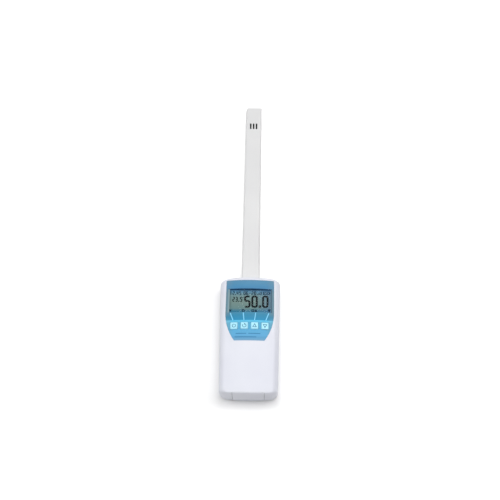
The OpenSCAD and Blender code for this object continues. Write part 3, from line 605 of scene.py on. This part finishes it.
def softened(nodeName, look):
    node = nodes[nodeName]
    piece = bpy.data.objects.new(nodeName + "Soft", node.data.copy())
    bpy.context.scene.collection.objects.link(piece)
    pick(piece)
    bpy.ops.mesh.customdata_custom_splitnormals_clear()
    openEdit(piece)
    bpy.ops.mesh.remove_doubles(threshold=cleanLook["merge"])
    bpy.ops.mesh.dissolve_limited(angle_limit=math.radians(cleanLook["flat"]))
    if look.get("seams"):
        choose(piece, "EDGE", lambda edge: onSeam(edge, look["seams"]))
        bpy.ops.mesh.bevel(offset=seamLook["edge"], segments=2, affect="EDGES", clamp_overlap=False)
    closeEdit()
    applyModifier(piece, "BEVEL", width=look["edge"], segments=look.get("segments", 2), limit_method="ANGLE",
                  angle_limit=math.radians(look.get("from", 30)), miter_outer="MITER_ARC")
    pick(piece)
    bpy.ops.object.shade_smooth_by_angle(angle=math.radians(look.get("smooth", 40)))
    applyModifier(piece, "WEIGHTED_NORMAL", keep_sharp=True)
    return piece


lipLook = {"wall": 2.7 * mm, "from": 22 * mm, "near": 0.35 * mm, "shift": 0.15 * mm}
softLook = {
    "front_shell": {"name": "housingFront", "edge": 0.2 * mm, "finish": housingPlastic, "slot": "housing_plastic",
                    "seams": "xz"},
    "rear_shell": {"name": "housingRear", "edge": 0.2 * mm, "finish": housingPlastic, "slot": "housing_plastic",
                   "seams": "xz"},
    "front_overlay": {"name": "overlaySheet", "edge": 0.05 * mm, "finish": overlayFoil, "slot": "overlay_foil"},
    "display_window": {"name": "displayPane", "edge": 0.12 * mm, "finish": paneClear, "slot": "window_clear"},
    "probe_tube": {"name": "probeBlade", "edge": 0.15 * mm, "finish": probePlastic, "slot": "probe_plastic"},
    "probe_tip": {"name": "probeNose", "edge": 0.2 * mm, "finish": probePlastic, "slot": "probe_plastic"},
    "housing_screws": {"name": "backScrews", "edge": 0.12 * mm, "finish": screwSteel, "slot": "steel"},
    "battery_cover": {"name": "batteryDoor", "edge": 0.2 * mm, "finish": housingPlastic, "slot": "housing_plastic",
                      "body": "cover", "seams": "x"},
}
for nodeName, look in softLook.items():
    piece = softened(nodeName, look)
    if nodeName == "battery_cover":  # its upper wall comes nearer to the shell
        openEdit(piece)
        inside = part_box(nodeName)[0].y + lipLook["wall"]
        choose(piece, "VERT", lambda vert: vert.co.z > lipLook["from"] and abs(vert.co.y - inside) < lipLook["near"])
        bpy.ops.transform.translate(value=(0, lipLook["shift"], 0))
        closeEdit()
    finishPiece(piece, look["name"], look.get("body", "housing"), look["finish"], [nodeName], 0)
print("moulded parts softened:", len(softLook))


# Printed border over the pane's edge, in the overlay's own colours

borderLook = {
    "ledge": 0.8 * mm, "inside": 0.35 * mm, "outside": 0.12 * mm, "lift": 0.015 * mm, "rise": 0.03 * mm, "cuts": 24,
}


def makeBorder():
    reach = borderLook["outside"]
    low = Vector((paneLow.x - reach, paneLow.y - reach, 0))
    high = Vector((paneHigh.x + reach, paneHigh.y + reach, 0))
    bpy.ops.object.select_all(action="DESELECT")
    bpy.ops.mesh.primitive_plane_add(size=1, location=(low + high) / 2)
    bpy.ops.transform.resize(value=high - low + Vector((0, 0, 1)))
    placeHere()
    border = bpy.context.object
    openEdit(border)
    bpy.ops.mesh.select_mode(type="FACE")
    bpy.ops.mesh.inset(thickness=borderLook["ledge"] + borderLook["inside"] + reach)
    bpy.ops.mesh.delete(type="FACE")
    for i in range(1, borderLook["cuts"]):
        bpy.ops.mesh.select_all(action="SELECT")
        x = low.x + (high.x - low.x) * i / borderLook["cuts"]
        bpy.ops.mesh.bisect(plane_co=(x, 0, 0), plane_no=(1, 0, 0))
    closeEdit()
    for vert in border.data.vertices:
        vert.co.z = foilTop(vert.co.x) + borderLook["lift"]
    applyModifier(border, "SOLIDIFY", thickness=borderLook["rise"], offset=1)
    return border


finishPiece(makeBorder(), "paneBorder", "housing", overlayFoil)
print("pane border made")


# Keys

keyLook = {
    "flange": 0.8 * mm, "rim": 1 * mm, "corner": 2.2 * mm, "edge": 0.75 * mm,
    "dish": ((0.86, 0.05 * mm), (0.9, 0.04 * mm)),  # steps: share of the size, and how far down
    "follow": 1.2,  # the cap has the whole of the crown's curve below its own top
}


def makeKey(nodeName):
    low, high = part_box(nodeName)
    middle = (low + high) / 2
    flangeTop = low.z + keyLook["flange"]
    rise = keyRise(nodeName)
    key = startBox(low, Vector((high.x, high.y, flangeTop)))
    openEdit(key)
    choose(key, "EDGE", lambda edge: abs(edge.verts[0].co.z - edge.verts[1].co.z) > keyLook["flange"] / 2)
    bpy.ops.mesh.bevel(offset=keyLook["corner"], segments=5, affect="EDGES")
    choose(key, "FACE", lambda face: face.normal.z > 0.9)
    bpy.ops.mesh.inset(thickness=keyLook["rim"])
    bpy.ops.mesh.extrude_region_move(TRANSFORM_OT_translate=shift(z=high.z - flangeTop))
    choose(key, "EDGE", lambda edge: min(v.co.z for v in edge.verts) > high.z - 0.01 * mm)
    bpy.ops.mesh.bevel(offset=keyLook["edge"], segments=4, affect="EDGES")
    choose(key, "FACE", lambda face: face.normal.z > 0.9 and len(face.verts) > 8)
    for share, down in keyLook["dish"]:
        bpy.ops.mesh.extrude_region_move(TRANSFORM_OT_translate=shift(z=-down))
        bpy.ops.transform.resize(value=(share, share, 1), center_override=middle)
    closeEdit()
    for vert in key.data.vertices:  # the cap's face follows the crown
        share = (vert.co.z - flangeTop) / (high.z - flangeTop)
        if share > 0:
            vert.co.z += min(1, share * keyLook["follow"]) * (foilTop(vert.co.x) + rise - high.z)
    return key, middle


keyBodies = {"key_power": "power_key", "key_turn": "turn_key", "key_up": "up_key", "key_down": "down_key"}
keyMiddles = {}
for nodeName, body in keyBodies.items():
    key, keyMiddles[nodeName] = makeKey(nodeName)
    finishPiece(key, nodeName.replace("key_", "keyCap_"), body, keyPlastic, [nodeName])
print("keys made")


# Printed lines

def drawLine(points, width, rise, bend=0.0, closed=False):  # a line of ink, drawn point by point at height 0
    bpy.ops.object.select_all(action="DESELECT")
    bpy.ops.mesh.primitive_plane_add(size=0.1 * mm, location=(points[0][0], points[0][1], 0))
    placeHere()
    line = bpy.context.object
    openEdit(line)
    bpy.ops.mesh.merge(type="CENTER")
    for here, there in zip(points, points[1:]):
        bpy.ops.mesh.extrude_vertices_move(TRANSFORM_OT_translate=shift(there[0] - here[0], there[1] - here[1]))
    if closed:
        ends = [Vector((*points[0], 0)), Vector((*points[-1], 0))]
        choose(line, "VERT", lambda vert: any((vert.co - end).length < 0.01 * mm for end in ends))
        bpy.ops.mesh.edge_face_add()
    if bend:
        choose(line, "VERT", lambda vert: len(vert.link_edges) == 2)
        bpy.ops.mesh.bevel(offset=bend, segments=4, affect="VERTICES")
    bpy.ops.mesh.select_all(action="SELECT")
    bpy.ops.mesh.extrude_edges_move(TRANSFORM_OT_translate=shift(z=rise))
    bpy.ops.mesh.select_all(action="SELECT")
    bpy.ops.mesh.normals_make_consistent(inside=False)
    closeEdit()
    applyModifier(line, "SOLIDIFY", thickness=width, offset=0, use_even_offset=True)
    openEdit(line)
    bpy.ops.mesh.normals_make_consistent(inside=False)
    closeEdit()
    return line


def inMetres(*values):
    return tuple(value * mm for value in values)


def inkLines(paths, width):  # paths in millimetres, each with whether it is closed
    return [drawLine([inMetres(*point) for point in points], width * mm, inkRise, closed=closed)
            for closed, points in paths]


def scaled(points, low, size):
    return [(low[0] + x * size[0], low[1] + y * size[1]) for x, y in points]


digitPaths = {  # in shares of the digit's width and height; a second line only where one is not enough
    "0": [[(0, 0), (1, 0), (1, 1), (0, 1)]],
    "1": [[(0.5, 1), (0.5, 0)]],
    "2": [[(0, 1), (1, 1), (1, 0.5), (0, 0.5), (0, 0), (1, 0)]],
    "3": [[(0, 1), (1, 1), (1, 0), (0, 0)], [(0.2, 0.5), (1, 0.5)]],
    "4": [[(0, 1), (0, 0.4), (1, 0.4)], [(0.8, 1), (0.8, 0)]],
    "5": [[(1, 1), (0, 1), (0, 0.56), (1, 0.56), (1, 0), (0, 0)]],
    "6": [[(1, 1), (0, 1), (0, 0), (1, 0), (1, 0.55), (0.1, 0.55)]],
    "8": [[(0, 0), (1, 0), (1, 1), (0, 1)], [(0.1, 0.5), (0.9, 0.5)]],
    "-": [[(0.1, 0.5), (0.9, 0.5)]],
}


digitLook = {"dot": 1.3, "bend": 0.75, "second": 0.25}  # shares of the stroke, and a second line's extra height


def drawNumber(text, place, size, gap, stroke):  # sizes in millimetres
    (x, low), size, gap, stroke = inMetres(*place), inMetres(*size), gap * mm, stroke * mm
    marks = []
    for sign in text:
        if sign == ".":
            side = stroke * digitLook["dot"]
            corner = Vector((x, low - stroke / 2, 0))
            marks.append(startBox(corner, corner + Vector((side, side, inkRise))))
            x += side + gap
            continue
        for number, path in enumerate(digitPaths[sign]):
            path = scaled(path, (x + stroke / 2, low), (size[0] - stroke, size[1]))
            bend = stroke * digitLook["bend"] if len(path) > 2 and sign != "4" else 0
            rise = inkRise * (1 + number * digitLook["second"])
            marks.append(drawLine(path, stroke, rise, bend, sign in "08" and number == 0))
        x += size[0] + gap
    return marks


def arc(x, y, radius, start, end, steps):  # its points, from one angle to another in degrees
    angles = [math.radians(start + (end - start) * i / steps) for i in range(steps + 1)]
    return [(x + radius * math.cos(angle), y + radius * math.sin(angle)) for angle in angles]


def raised(piece, height):
    pick(piece)
    bpy.ops.transform.translate(value=(0, 0, height))
    placeHere()
    return piece


def draped(piece, lift, cuts=1):  # follows the crown of the overlay
    openEdit(piece)
    bpy.ops.mesh.subdivide(number_cuts=cuts)
    closeEdit()
    for vert in piece.data.vertices:
        vert.co.z += foilTop(vert.co.x) + lift
    return piece


displayInk = printInk("displayInk", paint(8, 20, 22), paint(6, 16, 18))
signInk = printInk("signInk", paint(12, 38, 60), paint(10, 34, 54))
iconInk = printInk("iconInk", paint(28, 112, 152), paint(24, 104, 144))
guideInk = printInk("guideInk", paint(140, 216, 250), paint(132, 210, 246))
ruleInk = printInk("ruleInk", paint(54, 124, 172), paint(48, 116, 164))

inkRise = 0.05 * mm
bigLook = {"place": (-6.9, 33.5), "size": (7.5, 13.2), "gap": 1.0, "stroke": 2.3}
smallLook = {"place": (-20.6, 40.3), "size": (2.8, 5.4), "gap": 0.6, "stroke": 1.05}
ringLook = {"place": (-8.6, 45.2), "radius": 0.7, "stroke": 0.4, "sides": 16}

digits = drawNumber("50.0", **bigLook) + drawNumber("23.5", **smallLook)
ring = arc(*ringLook["place"], ringLook["radius"], 0, 360, ringLook["sides"])[:-1]
digits += inkLines([(True, ring)], ringLook["stroke"])
finishPiece(raised(joined(digits), cellHigh.z), "displayDigits", "housing", displayInk)
print("display digits drawn")

# Top row: a clock's numbers, bars of a level and a cell sign; below, one sign over each key
signLook = {
    "stroke": 0.85, "row": 48.8, "size": (2.6, 4.2), "gap": 0.5, "clock": -23.8, "count": -7.8,
    "bars": ((8.9, 0.35), (10.3, 0.55), (11.7, 0.8), (13.1, 1.0)),
    "cell": {"left": 15.6, "right": 22.2, "edge": 0.3, "bars": (17.2, 18.7, 20.2), "barEdge": 1.3,
             "button": 23.1, "buttonHalf": 0.7},
    "lowRow": 28.8, "lowSize": 2.3,
}
square = ((-1, -1), (1, -1), (1, 1), (-1, 1))
lowSigns = (  # place across, whether closed, and the points in half sizes
    (-22.6, False, ((-1, 1), (0, -1), (1, 1))), (-7.6, True, square), (3.5, True, square),
    (7.0, True, ((-1, -1), (1, -1), (0, 1))), (22.3, False, ((-1, 1), (1, 1), (0, -1), (-1, 1))),
)


def drawSigns():
    low, tall, stroke = signLook["row"], signLook["size"][1], signLook["stroke"]
    high = low + tall
    middle = low + tall / 2
    signs = []
    for text, x in (("12.45", signLook["clock"]), ("06-28", signLook["count"])):
        signs += drawNumber(text, (x, low), signLook["size"], signLook["gap"], stroke)
    paths = [(False, [(x, low), (x, low + tall * share)]) for x, share in signLook["bars"]]
    cell = signLook["cell"]
    left, right, bottom, top = cell["left"], cell["right"], low + cell["edge"], high - cell["edge"]
    paths.append((True, [(left, bottom), (right, bottom), (right, top), (left, top)]))
    paths += [(False, [(x, low + cell["barEdge"]), (x, high - cell["barEdge"])]) for x in cell["bars"]]
    paths.append((False, [(cell["button"], middle + way * cell["buttonHalf"]) for way in (-1, 1)]))
    half = signLook["lowSize"] / 2
    paths += [(closed, [(x + across * half, signLook["lowRow"] + up * half) for across, up in points])
              for x, closed, points in lowSigns]
    return signs + inkLines(paths, stroke)


finishPiece(raised(joined(drawSigns()), cellHigh.z), "displaySigns", "housing", signInk)
print("display signs drawn")

guideLook = {  # one line from each low sign to its key: both ends across, and their places along
    "width": 1.0, "across": ((-22.4, -19.0), (-7.4, -6.4), (7.0, 5.7), (22.0, 18.6)), "along": (24.6, 15.4),
}
guideStart, guideEnd = guideLook["along"]
guides = inkLines([(False, [(start, guideStart), (end, guideEnd)]) for start, end in guideLook["across"]],
                  guideLook["width"])
finishPiece(draped(joined(guides), 0), "overlayGuides", "housing", guideInk)

ruleLook = {  # two rows of plain bars: both ends across, and the place along
    "width": 0.85, "cuts": 5, "bars": ((-15.5, -3.4, -1.0), (-1.2, 12.5, -1.0), (-16.5, 8, -5.2)),
}
rules = inkLines([(False, [(start, y), (end, y)]) for start, end, y in ruleLook["bars"]], ruleLook["width"])
finishPiece(draped(joined(rules), 0, ruleLook["cuts"]), "overlayRules", "housing", ruleInk)

# Thin bars over the pane's rim, painted shade: at the left and right they carry the display's tones, shaded as under
# the pane, out over the rim; at the top and right a dark bar is the painted shadow of the opening's inner wall
rimLook = {
    "left": (-25.7, -23.8), "right": (24.3, 25.05), "line": (25.05, 25.7), "top": (14.75, 15.5), "low": -14.75,
    "lift": 0.045, "cuts": 24,
}
# painted shade: the display's shaded tones, and the dark shadow line at the top and right
rimPaintedTones = {
    "left": printInk("rimLeftPaintedShade", paint(133, 159, 166), paint(127, 153, 160)),
    "right": printInk("rimRightPaintedShade", paint(94, 121, 138), paint(90, 116, 133)),
    "line": printInk("rimLinePaintedShade", paint(62, 90, 108), paint(58, 85, 103)),
    "top": printInk("rimTopPaintedShade", paint(50, 106, 148), paint(46, 100, 142)),
}
paneMiddle = (paneLow.y + paneHigh.y) / 2 / mm
for side, rimShade in rimPaintedTones.items():
    start, end = rimLook[side]
    middle = (start + end) / 2
    if side == "top":
        path = [(rimLook["left"][0], paneMiddle + middle), (rimLook["line"][1], paneMiddle + middle)]
    else:
        path = [(middle, paneMiddle + rimLook["low"]), (middle, paneMiddle + rimLook["top"][0])]
    bar = inkLines([(False, path)], end - start)[0]
    finishPiece(draped(bar, rimLook["lift"] * mm, rimLook["cuts"]), f"paneRimShade_{side}", "housing", rimShade)

iconLook = {  # arcs in degrees and shares of the reach; points across and along from the key's middle
    "stroke": 0.6, "reach": 2.0, "lift": -0.1, "steps": 14,
    "key_power": {"arc": (125, 415, 0.95), "line": ((0, 0.4), (0, 2.3))},
    "key_turn": {"arc": (140, 430, 1), "line": ((-0.4, 2.9), (0.9, 1.7), (-0.3, 0.6))},
    "key_up": {"outline": ((-2, -1.6), (2, -1.6), (0, 2))},
    "key_down": {"outline": ((-2, 1.6), (0, -2), (2, 1.6))},
}


def drawIcon(nodeName, middle):
    x, y = middle.x / mm, middle.y / mm
    look = iconLook[nodeName]
    paths = []
    if "arc" in look:
        start, end, share = look["arc"]
        paths.append((False, arc(x, y, iconLook["reach"] * share, start, end, iconLook["steps"])))
    for kind in ("line", "outline"):
        if kind in look:
            paths.append((kind == "outline", [(x + across, y + up) for across, up in look[kind]]))
    return inkLines(paths, iconLook["stroke"])


for nodeName, body in keyBodies.items():
    icon = draped(joined(drawIcon(nodeName, keyMiddles[nodeName])), keyRise(nodeName) + iconLook["lift"] * mm)
    finishPiece(icon, nodeName.replace("key_", "keySign_"), body, iconInk)
print("printed lines drawn")


# Battery cells and contact springs

cellLook = {
    "sides": 64, "sleeve": 0.12 * mm, "lip": 0.7 * mm, "edge": 0.3 * mm, "corner": 40, "segments": 3,
    "buttonRise": 1.2 * mm, "button": 2.65 * mm, "short": 0.2 * mm, "rim": 1.6 * mm, "groove": 0.3 * mm,
    "inButton": 0.4 * mm, "footRim": 1.4 * mm, "footDent": 0.2 * mm, "canEdge": 0.25 * mm, "sleeveShare": 0.7,
}
jacket = plastic("cellJacket", {
    "colour": paint(58, 96, 132), "shade": paint(52, 88, 124), "grain": 2500, "patch": 60, "rough": (0.2, 0.3),
    "bump": 0.08, "depth": 0.02 * mm, "sockets": {"Coat Weight": 0.4, "Coat Roughness": 0.1},
})


def startRod(radius, length, place):  # a round bar along Y
    bpy.ops.object.select_all(action="DESELECT")
    bpy.ops.mesh.primitive_cylinder_add(vertices=cellLook["sides"], radius=radius, depth=length, location=place,
                                        rotation=(math.pi / 2, 0, 0))
    placeHere()
    return bpy.context.object


def roundEdges(piece, width):
    applyModifier(piece, "BEVEL", width=width, segments=cellLook["segments"], limit_method="ANGLE",
                  angle_limit=math.radians(cellLook["corner"]))


def makeCell(nodeName, plusAtEnd):
    low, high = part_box(nodeName)
    middle = (low + high) / 2
    radius = (high.x - low.x) / 2
    length = high.y - low.y - cellLook["buttonRise"]
    start = low.y if plusAtEnd else high.y
    way = 1 if plusAtEnd else -1  # towards the button
    place = (middle.x, start + way * length / 2, middle.z)
    canRadius = radius - cellLook["sleeve"]
    can = startRod(canRadius, length - cellLook["short"], place)
    openEdit(can)
    choose(can, "FACE", lambda face: face.normal.y * way > 0.9)
    bpy.ops.mesh.inset(thickness=cellLook["rim"])
    bpy.ops.mesh.extrude_region_move(TRANSFORM_OT_translate=shift(y=-way * cellLook["groove"]))
    bpy.ops.mesh.inset(thickness=canRadius - cellLook["rim"] - cellLook["button"])
    buttonHeight = cellLook["buttonRise"] + cellLook["inButton"]
    bpy.ops.mesh.extrude_region_move(TRANSFORM_OT_translate=shift(y=way * buttonHeight))
    choose(can, "FACE", lambda face: face.normal.y * way < -0.9 and len(face.verts) > 8)
    bpy.ops.mesh.inset(thickness=cellLook["footRim"])
    bpy.ops.mesh.extrude_region_move(TRANSFORM_OT_translate=shift(y=way * cellLook["footDent"]))
    closeEdit()
    roundEdges(can, cellLook["canEdge"])
    # the shrunk sleeve, with a lip folded over each end
    sleeve = startRod(radius, length, place)
    openEdit(sleeve)
    choose(sleeve, "FACE", lambda face: abs(face.normal.y) > 0.9)
    bpy.ops.mesh.inset(thickness=cellLook["lip"], use_individual=True)
    bpy.ops.mesh.delete(type="FACE")
    closeEdit()
    roundEdges(sleeve, cellLook["edge"])
    applyModifier(sleeve, "SOLIDIFY", thickness=cellLook["sleeve"] * cellLook["sleeveShare"], offset=-1)
    return can, sleeve


for nodeName, plusAtEnd in (("battery_cell_left", True), ("battery_cell_right", False)):
    can, sleeve = makeCell(nodeName, plusAtEnd)
    side = nodeName.split("_")[-1]
    finishPiece(can, "cellCan_" + side, "housing", canAluminium, [nodeName])
    finishPiece(sleeve, "cellSleeve_" + side, "housing", jacket)
print("battery cells made")

springLook = {"wire": 0.8 * mm, "turns": 2.5, "foot": 4.4 * mm, "head": 1.6 * mm, "steps": 20, "rise": 1.4,
              "wireSteps": 3}


def makeSpring(nodeName, way):
    low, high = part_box(nodeName)
    wire = springLook["wire"]
    reach = wire / 2 + springLook["foot"]
    middleX = high.x - reach if way > 0 else low.x + reach
    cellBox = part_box("battery_cell_left")
    middleZ = (cellBox[0].z + cellBox[1].z) / 2
    start = low.y if way > 0 else high.y
    path = bpy.data.curves.new(nodeName + "Path", "CURVE")
    path.dimensions = "3D"
    path.bevel_depth = wire / 2
    path.bevel_resolution = springLook["wireSteps"]
    path.use_fill_caps = True
    count = round(springLook["turns"] * springLook["steps"])
    spline = path.splines.new("POLY")
    spline.points.add(count)
    for i, point in enumerate(spline.points):
        share = i / count
        radius = springLook["foot"] + (springLook["head"] - springLook["foot"]) * share
        angle = math.tau * i / springLook["steps"]
        along = wire / 2 + (high.y - low.y - wire) * share ** springLook["rise"]
        x, z = middleX + way * radius * math.cos(angle), middleZ + radius * math.sin(angle)
        point.co = (x, start + way * along, z, 1)
    spring = bpy.data.objects.new(nodeName + "Wire", path)
    bpy.context.scene.collection.objects.link(spring)
    pick(spring)
    bpy.ops.object.convert(target="MESH")
    return bpy.context.object


for nodeName, way in (("spring_foot", 1), ("spring_inner", -1)):
    finishPiece(makeSpring(nodeName, way), nodeName + "Wire", "housing", contactNickel, [nodeName])
print("springs made")


# Stage

stageLook = {
    "side": 12, "drop": 0.1 * mm, "floor": (0.93, 0.93, 0.93, 1), "world": 0.27, "white": (1, 1, 1, 1),
    # painted light: the floor's own glow is stronger by the probe, before the foot and at the right, which lightens
    # the shadows there
    "glow": (0.05, 0.3), "glowSpans": (  # where the paper gets brighter: by the probe, before the foot, at the right
        ("Y", (66 * mm, 100 * mm)), ("Y", (-72 * mm, -92 * mm)), ("X", (30 * mm, 46 * mm)),
    ),
    "farSpan": (0.4, 1.2), "farGlow": (0, 1),  # white far away, so that a low camera sees no grey floor
}


def smoothShare(tree, value, span, ends):
    share = addNode(tree, "ShaderNodeMapRange", interpolation_type="SMOOTHSTEP")
    setInputs(share, {"From Min": span[0], "From Max": span[1], "To Min": ends[0], "To Max": ends[1]})
    link(tree, value, share.inputs["Value"])
    return share.outputs[0]


bpy.ops.object.select_all(action="DESELECT")
bpy.ops.mesh.primitive_plane_add(size=stageLook["side"], location=(0, 0, cadBox[0].z - stageLook["drop"]))
placeHere()
floor = bpy.context.object
floor.name = "floor"
floorPaper, tree, shader = newMaterial("floorPaper")
setInputs(shader, {"Base Color": stageLook["floor"], "Roughness": 0.9, "Specular IOR Level": 0.1})
rays = addNode(tree, "ShaderNodeLightPath")
seen = math2(tree, "MAXIMUM", rays.outputs["Is Camera Ray"],
             math2(tree, "MAXIMUM", rays.outputs["Is Glossy Ray"], rays.outputs["Is Transmission Ray"]))
setInputs(shader, {"Emission Color": stageLook["white"]})
floorPlace = addNode(tree, "ShaderNodeTexCoord")
floorApart = addNode(tree, "ShaderNodeSeparateXYZ")
link(tree, floorPlace.outputs["Object"], floorApart.inputs[0])
glows = [smoothShare(tree, floorApart.outputs[axis], span, stageLook["glow"]) for axis, span in stageLook["glowSpans"]]
glow = math2(tree, "MAXIMUM", math2(tree, "MAXIMUM", glows[0], glows[1]), glows[2])
distance = addNode(tree, "ShaderNodeVectorMath", operation="LENGTH")
link(tree, floorPlace.outputs["Object"], distance.inputs[0])
farGlow = smoothShare(tree, distance.outputs["Value"], stageLook["farSpan"], stageLook["farGlow"])
link(tree, math2(tree, "MAXIMUM", math2(tree, "MULTIPLY", seen, glow),
                 math2(tree, "MULTIPLY", rays.outputs["Is Camera Ray"], farGlow)), shader.inputs["Emission Strength"])
floor.data.materials.append(floorPaper)

# The camera sees a white world, and the object gets a softer one
world = bpy.data.worlds.new("studio")
bpy.context.scene.world = world
world.use_nodes = True
worldTree = world.node_tree
worldRays = addNode(worldTree, "ShaderNodeLightPath")
background = worldTree.nodes["Background"]
setInputs(background, {"Color": stageLook["white"]})
link(worldTree, math2(worldTree, "MAXIMUM", worldRays.outputs["Is Camera Ray"], stageLook["world"]),
     background.inputs["Strength"])

lampLook = {
    "topLamp": {"place": Vector((0.25, 0.45, 1.5)), "size": 1.3, "power": 14.6},
    "frontLamp": {"place": Vector((0, -0.35, 1.5)), "size": 0.9, "power": 2.5},
    "leftLamp": {"place": Vector((-0.9, 0.1, 1.1)), "size": 0.8, "power": 4.9},
    "rightLamp": {"place": Vector((0.9, 0.1, 1.1)), "size": 0.8, "power": 2.2},
}
aim = (cadBox[0] + cadBox[1]) / 2
for lampName, look in lampLook.items():
    lamp = bpy.data.objects.new(lampName, bpy.data.lights.new(lampName, "AREA"))
    bpy.context.scene.collection.objects.link(lamp)
    lamp.data.size = look["size"]
    lamp.data.energy = look["power"]
    lamp.visible_transmission = False  # no lamp seen through the pane, which would only speckle the display
    lamp.location = look["place"]
    lamp.rotation_mode = "QUATERNION"
    lamp.rotation_quaternion = (aim - look["place"]).to_track_quat("-Z", "Y")

bpy.context.scene.view_settings.view_transform = "Standard"
print("stage set")
